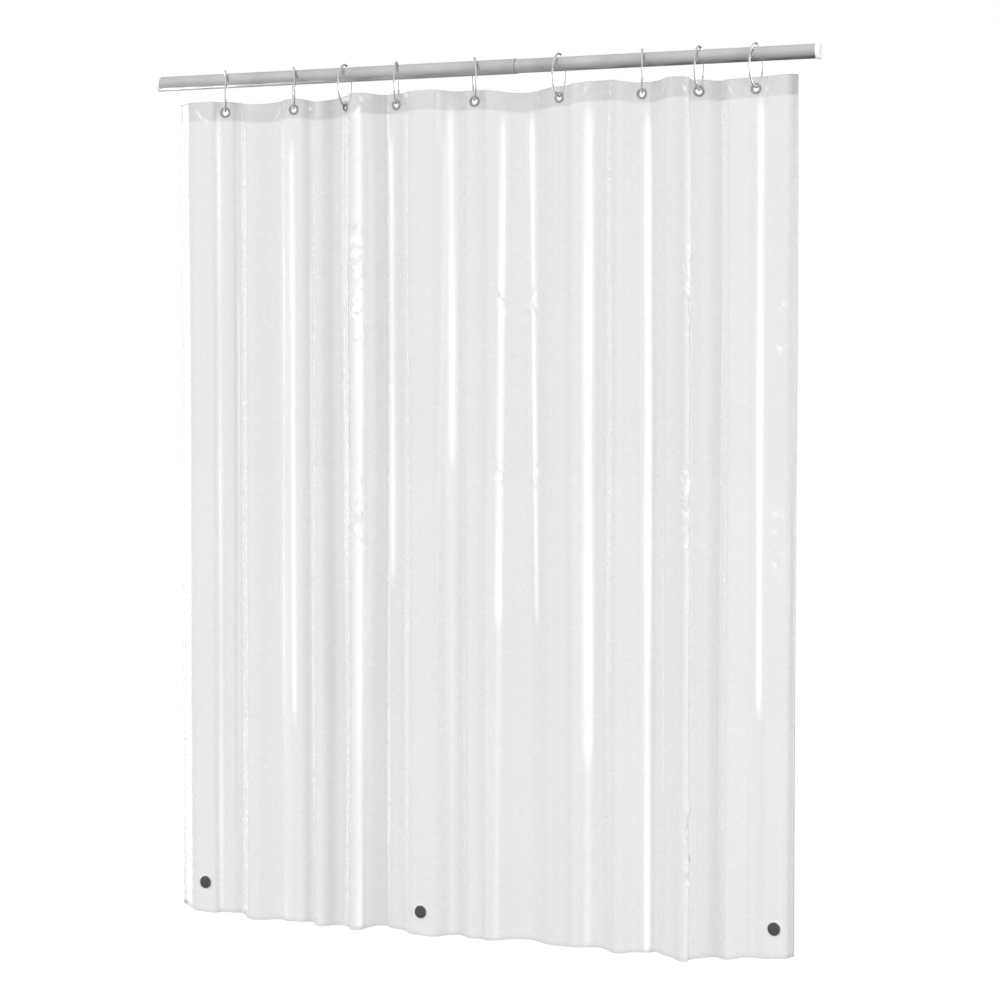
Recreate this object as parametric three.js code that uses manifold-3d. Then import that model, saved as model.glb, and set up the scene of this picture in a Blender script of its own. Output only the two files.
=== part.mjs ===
// A clear liner curtain on a telescopic tension rod, in millimetres, +Z up.
// The origin is on the rod's axis at the middle of the hung curtain. X runs along
// the rod, the curtain hangs towards -Z, and -Y is the side it is seen from.
import * as THREE from "three";
import { mergeVertices } from "three/addons/utils/BufferGeometryUtils.js";
import Module from "manifold-3d";

// Driving dimensions
const gap = 0.3; // between pieces that touch on the real curtain
const halfRodSpan = { left: 788, right: 780 }; // from the origin to each wall
const rodSeam = 100; // where the outer tube ends
const outerTube = { radius: 16.2, wall: 0.8 };
const innerTube = { radius: 15.1, wall: 0.8, overlap: 160 };
const foot = { radius: 16.8, thickness: 9, round: 1.6, spigot: 6, spigotLength: 12 };
const plugLength = 30;
const spring = { radius: 12, wire: 2, turns: 9, length: 165 };
const stopThickness = 8;

const curtain = { height: 1829, top: -47, thick: 0.5 };
const header = { height: 42, thick: 0.5 };
const wireRing = { halfWidth: 27.5, halfHeight: 45, wire: 4.6, topInside: 20, split: 1.2 };
const eyelet = { hole: 7, barrel: 8.2, flange: 12, lip: 1.1, curl: 10, drop: 23.5 };
const washer = { outer: 11.5, thick: 0.8 };
const magnet = { radius: 14, thick: 3.2, edge: 0.5 };
const pocket = { rim: 19, film: 0.5 };

// Where the nine rings hang along the rod, how far each has turned about the
// vertical, and how far the curtain has turned at its eyelet, in degrees.
const hangers = [
  { x: -615, ringTurn: 32, sheetTurn: 10 },
  { x: -441, ringTurn: 32, sheetTurn: 2 },
  { x: -313, ringTurn: -6, sheetTurn: -38 },
  { x: -187, ringTurn: 16, sheetTurn: -14 },
  { x: 1, ringTurn: 32, sheetTurn: 2 },
  { x: 199, ringTurn: -8, sheetTurn: -12 },
  { x: 388, ringTurn: 22, sheetTurn: -4 },
  { x: 515, ringTurn: 0, sheetTurn: 30 },
  { x: 640, ringTurn: -12, sheetTurn: -6 },
];
const eyeletFlat = 14; // the curtain is flat this far to each side of an eyelet

// The weights: place along the rod, depth, height above the bottom edge, turn.
const weights = [
  { name: "left", x: -660, y: -24, up: 63, turn: 0 },
  { name: "middle", x: -112, y: -36, up: 40, turn: -2 },
  { name: "right", x: 690, y: -7, up: 62, turn: -4 },
];
const weightFlat = 20;

// The fold crests between them, as [x, y]; the curtain runs along X at a crest.
const crests = [
  [-590, 11],
  [-540, -26],
  [-484, 12],
  [-408, 14],
  [-376, -15],
  [-344, 13],
  [-276, -47],
  [-226, 20],
  [-42, 14],
  [38, -14],
  [120, 29],
  [240, -16],
  [292, 10],
  [344, -20],
  [414, 11],
  [456, -10],
  [500, -35],
  [548, 20],
  [590, -12],
];
const leftEdge = { x: -742, y: 18, turn: -45, flat: 0 };
const rightEdge = { x: 727, y: 14, turn: 40, flat: 0 };

// Materials
const satinSteel = new THREE.MeshStandardMaterial({ color: 0xbfc0c0, metalness: 0.9, roughness: 0.38 });
const chrome = new THREE.MeshStandardMaterial({ color: 0xd8d9da, metalness: 1, roughness: 0.14 });
const whiteRubber = new THREE.MeshStandardMaterial({ color: 0xf0f0ee, metalness: 0, roughness: 0.6 });
const plastic = new THREE.MeshStandardMaterial({ color: 0xd2d2d0, metalness: 0, roughness: 0.5 });
const springSteel = new THREE.MeshStandardMaterial({ color: 0x8d8f91, metalness: 0.9, roughness: 0.4 });
const clearFilm = new THREE.MeshStandardMaterial({
  color: 0xe9eaea,
  metalness: 0,
  roughness: 0.25,
  transparent: true,
  opacity: 0.55,
});
const blackMagnet = new THREE.MeshStandardMaterial({ color: 0x2b2b2d, metalness: 0.2, roughness: 0.5 });

const wasm = await Module();
wasm.setup();
const model = new THREE.Group();

function addPiece(name, geometry, material) {
  const piece = new THREE.Mesh(geometry, material);
  piece.name = name;
  model.add(piece);
  return piece;
}

function toSolid(geometry) {
  const bare = geometry.index ? geometry.toNonIndexed() : geometry.clone();
  bare.deleteAttribute("normal");
  bare.deleteAttribute("uv");
  const merged = mergeVertices(bare, 1e-4);
  return new wasm.Manifold(
    new wasm.Mesh({
      numProp: 3,
      vertProperties: merged.attributes.position.array,
      triVerts: new Uint32Array(merged.index.array),
    }),
  );
}

function toGeometry(solid) {
  const mesh = solid.getMesh();
  return new THREE.BufferGeometry()
    .setAttribute("position", new THREE.BufferAttribute(mesh.vertProperties, 3))
    .setIndex(new THREE.BufferAttribute(mesh.triVerts, 1));
}

// A turned piece about the X axis from [radius, x] points going round its section.
function turnedAboutX(profile, sides) {
  const closed = [...profile, profile[0]].map(([radius, x]) => new THREE.Vector2(radius, x));
  return new THREE.LatheGeometry(closed, sides).rotateZ(-Math.PI / 2);
}

// The same about the sheet's normal: along 0 is the sheet's middle, positive is the front.
function turnedAboutNormal(profile, sides) {
  const closed = [...profile, profile[0]].map(([radius, along]) => new THREE.Vector2(radius, along));
  return new THREE.LatheGeometry(closed, sides).rotateX(Math.PI);
}

// Rod
const tubeSides = 24;

function tubePiece(name, radius, wall, from, to) {
  const section = [
    [radius - wall, from],
    [radius, from],
    [radius, to],
    [radius - wall, to],
  ];
  addPiece(name, turnedAboutX(section, tubeSides), satinSteel);
}

// A foot at one end: side is -1 on the left and 1 on the right, wallX is the wall's face.
function footPiece(name, side, wallX) {
  const back = wallX - side * foot.thickness;
  const profile = [
    [0, wallX],
    [foot.radius - foot.round, wallX],
    [foot.radius, wallX - side * foot.round],
    [foot.radius, back],
    [foot.spigot, back],
    [foot.spigot, back - side * foot.spigotLength],
    [0, back - side * foot.spigotLength],
  ];
  const section = side > 0 ? profile.reverse() : profile;
  const points = section.map(([radius, x]) => new THREE.Vector2(radius, x));
  addPiece(name, new THREE.LatheGeometry(points, tubeSides).rotateZ(-Math.PI / 2), whiteRubber);
  return back - side * gap;
}

// A plug that fills a tube's end and holds the foot's spigot.
function endPlug(name, side, mouthX, tube) {
  const radius = tube.radius - tube.wall - gap;
  const deep = mouthX - side * plugLength;
  const section = [
    [foot.spigot + gap, Math.min(mouthX, deep)],
    [radius, Math.min(mouthX, deep)],
    [radius, Math.max(mouthX, deep)],
    [foot.spigot + gap, Math.max(mouthX, deep)],
  ];
  addPiece(name, turnedAboutX(section, 24), plastic);
}

const leftMouth = footPiece("left_foot", -1, -halfRodSpan.left);
const rightMouth = footPiece("right_foot", 1, halfRodSpan.right);
const innerStart = rodSeam - innerTube.overlap;
tubePiece("outer_tube", outerTube.radius, outerTube.wall, leftMouth, rodSeam);
tubePiece("inner_tube", innerTube.radius, innerTube.wall, innerStart, rightMouth);
endPlug("left_end_plug", -1, leftMouth, outerTube);
endPlug("right_end_plug", 1, rightMouth, innerTube);

// The spring pushes the inner tube out through a plug in its hidden end.
const plugHead = { thick: 6, radius: outerTube.radius - outerTube.wall - gap };
const plugBody = { length: 20, radius: innerTube.radius - innerTube.wall - gap };
const plugFace = innerStart - gap - plugHead.thick;
addPiece(
  "spring_plug",
  turnedAboutX(
    [
      [4, plugFace],
      [plugHead.radius, plugFace],
      [plugHead.radius, innerStart - gap],
      [plugBody.radius, innerStart - gap],
      [plugBody.radius, innerStart + plugBody.length],
      [4, innerStart + plugBody.length],
    ],
    24,
  ),
  plastic,
);

class SpringHelix extends THREE.Curve {
  constructor(startX) {
    super();
    this.startX = startX;
  }
  getPoint(t, target = new THREE.Vector3()) {
    const angle = t * spring.turns * 2 * Math.PI;
    const run = spring.length - spring.wire - 2 * gap;
    return target.set(
      this.startX + gap + spring.wire / 2 + t * run,
      spring.radius * Math.cos(angle),
      spring.radius * Math.sin(angle),
    );
  }
}

function roundSection(radius, sides) {
  const section = new THREE.Shape();
  for (let i = 0; i < sides; i++) {
    const angle = (i / sides) * 2 * Math.PI;
    const corner = [radius * Math.cos(angle), radius * Math.sin(angle)];
    if (i === 0) section.moveTo(...corner);
    else section.lineTo(...corner);
  }
  return section;
}

function wirePiece(path, wire, sides, steps) {
  return new THREE.ExtrudeGeometry(roundSection(wire / 2, sides), {
    steps,
    curveSegments: 1,
    bevelEnabled: false,
    extrudePath: path,
  });
}

const springStart = plugFace - spring.length;
const springSteps = spring.turns * 9;
addPiece("tension_spring", wirePiece(new SpringHelix(springStart), spring.wire, 5, springSteps), springSteel);
addPiece(
  "spring_stop",
  turnedAboutX(
    [
      [4, springStart - stopThickness],
      [plugHead.radius, springStart - stopThickness],
      [plugHead.radius, springStart - gap],
      [4, springStart - gap],
    ],
    24,
  ),
  plastic,
);

// Curtain in plan: straight at each eyelet and weight, one cubic between neighbours.
const radians = (degrees) => (degrees * Math.PI) / 180;

const stations = [
  leftEdge,
  rightEdge,
  ...hangers.map(({ x, sheetTurn }) => ({ x, y: 0, turn: sheetTurn, flat: eyeletFlat })),
  ...weights.map(({ x, y, turn }) => ({ x, y, turn, flat: weightFlat })),
  ...crests.map(([x, y]) => ({ x, y, turn: 0, flat: 0 })),
].sort((a, b) => a.x - b.x);

const foldSteps = 4; // pieces of each cubic
const foldFullness = 1.05; // how round a fold is for its chord

function planPath() {
  const path = [];
  stations.forEach((station, i) => {
    const along = new THREE.Vector2(Math.cos(radians(station.turn)), Math.sin(radians(station.turn)));
    const middle = new THREE.Vector2(station.x, station.y);
    const enter = middle.clone().addScaledVector(along, -station.flat);
    const leave = middle.clone().addScaledVector(along, station.flat);
    if (i > 0) {
      const start = path[path.length - 1];
      const reach = start.point.distanceTo(enter) * foldFullness;
      for (let k = 1; k < foldSteps; k++) path.push(cubicPoint(start, enter, along, reach, k / foldSteps));
      path.push({ point: enter, along });
    }
    if (station.flat > 0 || i === 0) path.push({ point: leave, along });
  });
  return path;
}

// Cubic Hermite from start to end, with its direction there.
function cubicPoint(start, end, endAlong, reach, t) {
  const weightsAt = [2 * t ** 3 - 3 * t ** 2 + 1, t ** 3 - 2 * t ** 2 + t, 3 * t ** 2 - 2 * t ** 3, t ** 3 - t ** 2];
  const slopes = [6 * t ** 2 - 6 * t, 3 * t ** 2 - 4 * t + 1, 6 * t - 6 * t ** 2, 3 * t ** 2 - 2 * t];
  const mix = (w) =>
    new THREE.Vector2()
      .addScaledVector(start.point, w[0])
      .addScaledVector(start.along, w[1] * reach)
      .addScaledVector(end, w[2])
      .addScaledVector(endAlong, w[3] * reach);
  return { point: mix(weightsAt), along: mix(slopes).normalize() };
}

const plan = planPath();

// An upright film that follows the plan, set back from its middle line.
function filmSolid(setBack, thick, bottom, height) {
  const side = (offset) =>
    plan.map(({ point, along }) => new THREE.Vector2(point.x - along.y * offset, point.y + along.x * offset));
  const front = side(setBack - thick / 2);
  const back = side(setBack + thick / 2).reverse();
  const outline = new THREE.Shape([...front, ...back]);
  const slab = new THREE.ExtrudeGeometry(outline, { depth: height, bevelEnabled: false, curveSegments: 1 });
  return toSolid(slab.translate(0, 0, bottom));
}

const eyeletZ = curtain.top - eyelet.drop;
const holeSides = 12;

function punchEyeletHoles(film) {
  const radius = eyelet.barrel + gap;
  const punchLength = 20;
  for (const { x, sheetTurn } of hangers) {
    const punch = new THREE.CylinderGeometry(radius, radius, punchLength, holeSides)
      .rotateZ(radians(sheetTurn))
      .translate(x, 0, eyeletZ);
    film = film.subtract(toSolid(punch));
  }
  return film;
}

const headerSetBack = curtain.thick / 2 + gap + header.thick / 2;
const sheet = filmSolid(0, curtain.thick, curtain.top - curtain.height, curtain.height);
const band = filmSolid(headerSetBack, header.thick, curtain.top - header.height, header.height);
addPiece("curtain_sheet", toGeometry(punchEyeletHoles(sheet)), clearFilm);
addPiece("header_band", toGeometry(punchEyeletHoles(band)), clearFilm);

// Eyelets and washers
const frontFace = curtain.thick / 2 + gap;
const washerFace = -(headerSetBack + header.thick / 2 + gap);
const washerBack = washerFace - washer.thick;
const curlFace = washerBack - gap;
const eyeletSides = 16;

const eyeletSection = [
  [eyelet.hole, curlFace - eyelet.lip],
  [eyelet.curl, curlFace - eyelet.lip * 0.5],
  [eyelet.curl, curlFace],
  [eyelet.barrel, curlFace],
  [eyelet.barrel, frontFace],
  [eyelet.flange, frontFace],
  [eyelet.flange - 1.5, frontFace + eyelet.lip],
  [eyelet.hole, frontFace + eyelet.lip],
];
const washerSection = [
  [eyelet.barrel + gap, washerBack],
  [washer.outer, washerBack],
  [washer.outer, washerFace],
  [eyelet.barrel + gap, washerFace],
];

// Rings: an oval of wire in its own YZ plane, split low on the back leg.
class OvalWire extends THREE.Curve {
  getPoint(t, target = new THREE.Vector3()) {
    const splitAt = 0.62 * Math.PI;
    const splitAngle = wireRing.split / wireRing.halfHeight;
    const angle = splitAt + splitAngle / 2 + t * (2 * Math.PI - splitAngle);
    return target.set(0, wireRing.halfWidth * Math.sin(angle), wireRing.halfHeight * Math.cos(angle));
  }
}
const ringCentreZ = wireRing.topInside + wireRing.wire / 2 - wireRing.halfHeight;

hangers.forEach(({ x, ringTurn, sheetTurn }, i) => {
  const ring = addPiece(`ring_${i + 1}`, wirePiece(new OvalWire(), wireRing.wire, 7, 30), chrome);
  ring.rotation.z = radians(ringTurn);
  ring.position.set(x, 0, ringCentreZ);
  const fittings = [
    addPiece(`eyelet_${i + 1}`, turnedAboutNormal(eyeletSection, eyeletSides), chrome),
    addPiece(`washer_${i + 1}`, turnedAboutNormal(washerSection, eyeletSides), chrome),
  ];
  for (const piece of fittings) {
    piece.rotation.z = radians(sheetTurn);
    piece.position.set(x, 0, eyeletZ);
  }
});

// Weights: a magnet in a pocket of film welded to the sheet's front.
const magnetBack = frontFace;
const magnetFront = magnetBack + magnet.thick;
const pocketInside = magnet.radius + gap;
const pocketRoof = magnetFront + gap;
const magnetSection = [
  [0, magnetBack],
  [magnet.radius, magnetBack],
  [magnet.radius, magnetFront - magnet.edge],
  [magnet.radius - magnet.edge, magnetFront],
  [0, magnetFront],
].map(([radius, along]) => new THREE.Vector2(radius, along));
const pocketSection = [
  [0, pocketRoof],
  [pocketInside, pocketRoof],
  [pocketInside, frontFace],
  [pocket.rim, frontFace],
  [pocket.rim, frontFace + pocket.film],
  [pocketInside + pocket.film, frontFace + pocket.film],
  [pocketInside + pocket.film, pocketRoof + pocket.film],
  [0, pocketRoof + pocket.film],
].map(([radius, along]) => new THREE.Vector2(radius, along));

for (const { name, x, y, up, turn } of weights) {
  const pieces = [
    addPiece(`magnet_${name}`, new THREE.LatheGeometry(magnetSection, 20).rotateX(Math.PI), blackMagnet),
    addPiece(`magnet_pocket_${name}`, new THREE.LatheGeometry(pocketSection, 20).rotateX(Math.PI), clearFilm),
  ];
  for (const piece of pieces) {
    piece.rotation.z = radians(turn);
    piece.position.set(x, y, curtain.top - curtain.height + up);
  }
}

export default model;
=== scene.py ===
import math
import bmesh
import bpy
import numpy as np
from mathutils import Matrix, Vector


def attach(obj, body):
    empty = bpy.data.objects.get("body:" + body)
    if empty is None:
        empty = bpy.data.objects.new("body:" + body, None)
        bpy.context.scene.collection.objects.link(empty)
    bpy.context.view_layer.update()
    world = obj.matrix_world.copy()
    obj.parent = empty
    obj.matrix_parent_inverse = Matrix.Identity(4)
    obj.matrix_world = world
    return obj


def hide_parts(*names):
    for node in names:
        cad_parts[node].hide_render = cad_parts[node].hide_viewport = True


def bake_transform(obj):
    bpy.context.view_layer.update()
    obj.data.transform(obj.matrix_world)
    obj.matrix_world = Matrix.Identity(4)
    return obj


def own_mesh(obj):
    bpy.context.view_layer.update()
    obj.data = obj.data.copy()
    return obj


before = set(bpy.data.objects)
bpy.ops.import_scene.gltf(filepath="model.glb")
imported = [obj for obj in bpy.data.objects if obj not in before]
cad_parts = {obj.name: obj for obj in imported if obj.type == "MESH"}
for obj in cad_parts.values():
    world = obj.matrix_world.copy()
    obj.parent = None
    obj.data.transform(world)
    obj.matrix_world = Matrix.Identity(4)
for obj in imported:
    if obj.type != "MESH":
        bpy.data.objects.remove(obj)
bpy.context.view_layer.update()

print("frame loaded")

degree = math.pi / 180


# ---- working helpers

def clearSelection():
    if bpy.context.object and bpy.context.object.mode != "OBJECT":
        bpy.ops.object.mode_set(mode="OBJECT")
    bpy.ops.object.select_all(action="DESELECT")


def pick(piece):
    clearSelection()
    piece.select_set(True)
    bpy.context.view_layer.objects.active = piece


def bake(piece):  # the object's place goes into its mesh
    pick(piece)
    bpy.ops.object.transform_apply(location=True, rotation=True, scale=True)


def applyAll(piece):
    pick(piece)
    for modifier in list(piece.modifiers):
        bpy.ops.object.modifier_apply(modifier=modifier.name)


def softenEdges(piece, width, segments=2, angle=35):
    bevel = piece.modifiers.new("soft edges", "BEVEL")
    bevel.width = width
    bevel.segments = segments
    bevel.limit_method = "ANGLE"
    bevel.angle_limit = angle * degree
    applyAll(piece)


def smooth(piece, angle=40):
    pick(piece)
    bpy.ops.object.shade_smooth_by_angle(angle=angle * degree)


def copyPiece(piece, name):
    twin = piece.copy()
    twin.data = piece.data.copy()
    twin.name = name
    bpy.context.scene.collection.objects.link(twin)
    return twin


def turnedPiece(name, section, sides, closed=True):
    # section is [radius, along Z], walked round; open sections start in a filled disc and are left open at
    # the end
    clearSelection()
    radius, along = section[0]
    bpy.ops.mesh.primitive_circle_add(
        vertices=sides, radius=radius, fill_type="NOTHING" if closed else "NGON", location=(0, 0, 0)
    )
    piece = bpy.context.object
    piece.name = name
    bpy.ops.object.mode_set(mode="EDIT")
    bpy.ops.mesh.select_all(action="SELECT")
    bpy.ops.transform.translate(value=(0, 0, along))
    steps = section[1:] + ([section[0]] if closed else [])
    for nextRadius, nextAlong in steps:
        bpy.ops.mesh.extrude_region_move(TRANSFORM_OT_translate={"value": (0, 0, nextAlong - along)})
        scale = nextRadius / radius
        bpy.ops.transform.resize(value=(scale, scale, 1), center_override=(0, 0, 0))
        radius, along = nextRadius, nextAlong
    bpy.ops.mesh.select_all(action="SELECT")
    bpy.ops.mesh.remove_doubles(threshold=0.000005)
    bpy.ops.mesh.normals_make_consistent(inside=False)
    bpy.ops.object.mode_set(mode="OBJECT")
    return piece


def closeEnds(piece):  # fills the open rims and turns the faces out
    pick(piece)
    bpy.ops.object.mode_set(mode="EDIT")
    bpy.ops.mesh.select_all(action="DESELECT")
    bpy.ops.mesh.select_non_manifold()
    bpy.ops.mesh.edge_face_add()
    bpy.ops.mesh.select_all(action="SELECT")
    bpy.ops.mesh.normals_make_consistent(inside=False)
    bpy.ops.object.mode_set(mode="OBJECT")


def turnMesh(piece, axis, angle):
    piece.data.transform(Matrix.Rotation(angle, 4, axis))


def place(piece, x, y, z, turn=0):
    piece.data.transform(Matrix.Translation((x, y, z)) @ Matrix.Rotation(turn, 4, "Z"))
    piece.data.update()


def finished(piece, body, material, nodes=()):
    piece.data.materials.clear()
    piece.data.materials.append(material)
    bake(piece)
    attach(piece, body)
    if nodes:
        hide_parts(*nodes)
    return piece


# ---- shared surface effects

def newGroup(name, inputs, output):
    group = bpy.data.node_groups.new(name, "ShaderNodeTree")
    for label, kind, value in inputs:
        socket = group.interface.new_socket(label, in_out="INPUT", socket_type=kind)
        if value is not None:
            socket.default_value = value
    group.interface.new_socket(output, in_out="OUTPUT", socket_type="NodeSocketFloat")
    start = group.nodes.new("NodeGroupInput")
    end = group.nodes.new("NodeGroupOutput")
    return group, start, end


def smudgeGroup():  # soft patches, 0 to 1
    inputs = [
        ("Vector", "NodeSocketVector", None),
        ("Scale", "NodeSocketFloat", 8.0),
        ("Sharpness", "NodeSocketFloat", 0.5),
    ]
    group, start, end = newGroup("soft smudges", inputs, "Mask")
    noise = group.nodes.new("ShaderNodeTexNoise")
    noise.inputs["Detail"].default_value = 4
    reach = group.nodes.new("ShaderNodeMapRange")
    reach.inputs["From Min"].default_value = 0.3
    reach.inputs["From Max"].default_value = 0.7
    power = group.nodes.new("ShaderNodeMath")
    power.operation = "POWER"
    link = group.links.new
    link(start.outputs["Vector"], noise.inputs["Vector"])
    link(start.outputs["Scale"], noise.inputs["Scale"])
    link(noise.outputs["Fac"], reach.inputs["Value"])
    link(reach.outputs["Result"], power.inputs[0])
    link(start.outputs["Sharpness"], power.inputs[1])
    link(power.outputs[0], end.inputs["Mask"])
    return group


def drawnGroup():  # fine lines drawn out along one direction, 0 to 1
    inputs = [
        ("Vector", "NodeSocketVector", None),
        ("Stretch", "NodeSocketVector", (1, 1, 1)),
        ("Scale", "NodeSocketFloat", 60.0),
    ]
    group, start, end = newGroup("drawn lines", inputs, "Height")
    times = group.nodes.new("ShaderNodeVectorMath")
    times.operation = "MULTIPLY"
    noise = group.nodes.new("ShaderNodeTexNoise")
    noise.inputs["Detail"].default_value = 3
    noise.inputs["Roughness"].default_value = 0.6
    link = group.links.new
    link(start.outputs["Vector"], times.inputs[0])
    link(start.outputs["Stretch"], times.inputs[1])
    link(times.outputs[0], noise.inputs["Vector"])
    link(start.outputs["Scale"], noise.inputs["Scale"])
    link(noise.outputs["Fac"], end.inputs["Height"])
    return group


smudges = smudgeGroup()
drawnLines = drawnGroup()


class Finish:  # one material being made
    def __init__(self, name):
        self.material = bpy.data.materials.new(name)
        self.material.use_nodes = True
        self.nodes = self.material.node_tree.nodes
        self.link = self.material.node_tree.links.new
        self.shader = self.nodes["Principled BSDF"]

    def set(self, **values):
        for label, value in values.items():
            self.shader.inputs[label.replace("_", " ")].default_value = value
        return self

    def coordinates(self, uvMap=None):
        if uvMap:
            node = self.nodes.new("ShaderNodeUVMap")
            node.uv_map = uvMap
            return node.outputs["UV"]
        return self.nodes.new("ShaderNodeTexCoord").outputs["Object"]

    def effect(self, group, vector, **values):
        node = self.nodes.new("ShaderNodeGroup")
        node.node_tree = group
        self.link(vector, node.inputs["Vector"])
        for label, value in values.items():
            node.inputs[label].default_value = value
        return node.outputs[0]

    def ranged(self, value, low, high, fromLow=0.0, fromHigh=1.0):
        node = self.nodes.new("ShaderNodeMapRange")
        node.inputs["From Min"].default_value = fromLow
        node.inputs["From Max"].default_value = fromHigh
        node.inputs["To Min"].default_value = low
        node.inputs["To Max"].default_value = high
        self.link(value, node.inputs["Value"])
        return node.outputs["Result"]

    def colours(self, value, first, second):
        node = self.nodes.new("ShaderNodeMix")
        node.data_type = "RGBA"
        node.inputs["A"].default_value = (*first, 1)
        node.inputs["B"].default_value = (*second, 1)
        self.link(value, node.inputs["Factor"])
        return node.outputs["Result"]

    def attribute(self, name):
        node = self.nodes.new("ShaderNodeAttribute")
        node.attribute_name = name
        return node.outputs["Fac"]

    def over(self, share, under, colour):  # a plain colour laid over what is there
        node = self.nodes.new("ShaderNodeMix")
        node.data_type = "RGBA"
        self.link(share, node.inputs["Factor"])
        self.link(under, node.inputs["A"])
        node.inputs["B"].default_value = (*colour, 1)
        return node.outputs["Result"]

    def math(self, operation, first, second):
        node = self.nodes.new("ShaderNodeMath")
        node.operation = operation
        for socket, value in zip(node.inputs, (first, second)):
            if isinstance(value, (int, float)):
                socket.default_value = value
            else:
                self.link(value, socket)
        return node.outputs[0]

    def feed(self, label, value):
        self.link(value, self.shader.inputs[label])

    def mottled(self, where, scale, sharpness, first, second):  # two tones in soft patches
        patches = self.effect(smudges, where, Scale=scale, Sharpness=sharpness)
        self.feed("Base Color", self.colours(patches, first, second))

    def handled(self, where, scale, sharpness, low, high):  # uneven roughness
        patches = self.effect(smudges, where, Scale=scale, Sharpness=sharpness)
        self.feed("Roughness", self.ranged(patches, low, high))

    def bump(self, height, strength, distance):
        node = self.nodes.new("ShaderNodeBump")
        node.inputs["Strength"].default_value = strength
        node.inputs["Distance"].default_value = distance
        self.link(height, node.inputs["Height"])
        self.link(node.outputs["Normal"], self.shader.inputs["Normal"])


# ---- curtain film

film = {
    "top": -0.047,
    "height": 1.829,
    "thick": 0.0004,
    "header": 0.042,
    "headerBack": 0.0008,
    "sideHem": 0.024,
    "foldFullness": 0.94,
    "columnWide": 0.0098,
    "columnFine": 0.0036,
    "rowWide": 0.0165,
    "rowFine": 0.0066,
    "tone": (0.62, 0.622, 0.627),
    "doubledTone": (0.49, 0.492, 0.497),
    # near-white colour of the painted highlight streaks
    "paintedHighlightTone": (0.985, 0.987, 0.99),
    "alpha": 0.38,
    "headerAlpha": 0.26,
    "doubledAlpha": 0.46,
    # opacity of the film under the painted highlight streaks
    "paintedHighlightAlpha": 0.72,
}

eyelet = {"hole": 0.007, "barrel": 0.0082, "flange": 0.012, "lip": 0.0011, "curl": 0.010, "drop": 0.0235}

# the nine hangers: place along the rod, turn of the ring, turn of the film
hangers = [
    (-0.615, 32, 10),
    (-0.441, 32, 2),
    (-0.313, -6, -38),
    (-0.187, 16, -14),
    (0.001, 32, 2),
    (0.199, -8, -12),
    (0.388, 22, -4),
    (0.515, 0, 30),
    (0.640, -12, -6),
]
weights = [  # name, place, depth, height above the bottom edge, turn
    ("left", -0.660, -0.024, 0.063, 0),
    ("middle", -0.112, -0.036, 0.040, -2),
    ("right", 0.690, -0.007, 0.062, -4),
]
crests = [
    (-0.590, 0.011),
    (-0.540, -0.026),
    (-0.484, 0.012),
    (-0.408, 0.014),
    (-0.376, -0.015),
    (-0.344, 0.013),
    (-0.275, -0.043),
    (-0.226, 0.020),
    (-0.042, 0.014),
    (0.038, -0.014),
    (0.120, 0.029),
    (0.240, -0.016),
    (0.292, 0.010),
    (0.344, -0.020),
    (0.414, 0.011),
    (0.456, -0.010),
    (0.500, -0.031),
    (0.548, 0.020),
    (0.590, -0.012),
]
sideEdges = [(-0.742, 0.018, -26), (0.727, 0.014, 40)]
eyeletFlat = 0.014
weightFlat = 0.020

# the top edge hangs this far below the line between neighbouring eyelets, from the left edge
sags = [0.001, 0.010, 0.009, -0.003, -0.002, 0.008, -0.009, -0.008, 0.003, -0.003]

# sharp pleats, each also carrying a painted highlight streak: place along the rod, half width, height, top
# and bottom end as shares of the drop, lean
pleats = [
    (-0.632, 0.009, 0.0044, 0.01, 1.00, 0.0),
    (-0.592, 0.004, 0.0014, 0.02, 0.24, 0.0),
    (-0.588, 0.005, 0.0026, 0.24, 1.00, -0.006),
    (-0.548, 0.004, 0.0012, 0.02, 0.30, 0.0),
    (-0.470, 0.016, 0.0030, 0.02, 1.00, 0.0),
    (-0.446, 0.007, 0.0044, 0.06, 0.75, 0.004),
    (-0.408, 0.005, 0.0020, 0.20, 1.00, 0.012),
    (-0.298, 0.009, 0.0030, 0.02, 1.00, 0.0),
    (-0.262, 0.012, 0.0044, 0.02, 1.00, 0.0),
    (-0.204, 0.010, 0.0042, 0.05, 0.58, 0.010),
    (-0.058, 0.014, 0.0050, 0.02, 0.44, 0.004),
    (-0.056, 0.012, 0.0020, 0.44, 1.00, 0.0),
    (0.070, 0.008, 0.0046, 0.03, 0.62, -0.020),
    (0.070, 0.008, 0.0018, 0.60, 1.00, -0.016),
    (0.124, 0.008, 0.0046, 0.03, 0.62, 0.022),
    (0.268, 0.014, 0.0056, 0.03, 0.78, 0.0),
    (0.268, 0.010, 0.0022, 0.76, 1.00, 0.0),
    (0.402, 0.011, 0.0044, 0.04, 1.00, 0.004),
    (0.502, 0.010, 0.0036, 0.02, 1.00, 0.0),
    (0.652, 0.009, 0.0046, 0.03, 0.72, 0.0),
]
# crumpled stretches of a pleat, real dents with painted highlight and painted shade on them: place, from and
# to down the drop in metres, number of dents, depth
crumples = [
    (-0.264, 0.28, 0.54, 46, 0.0050),
    (-0.262, 0.84, 1.00, 18, 0.0036),
    (-0.262, 0.02, 0.06, 5, 0.0036),
    (0.502, 0.34, 0.56, 44, 0.0052),
    (0.500, 0.80, 0.98, 28, 0.0046),
    (0.502, 1.50, 1.68, 26, 0.0040),
    (0.064, 0.435, 0.475, 10, 0.0060),
    (0.128, 0.435, 0.475, 10, 0.0060),
    (0.060, 0.80, 0.85, 6, 0.0040),
    (0.134, 0.80, 0.85, 6, 0.0040),
    (-0.560, 0.42, 0.50, 6, 0.0014),
    (0.690, 0.90, 1.05, 16, 0.0018),
    (0.690, 0.38, 0.62, 12, 0.0014),
]
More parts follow.
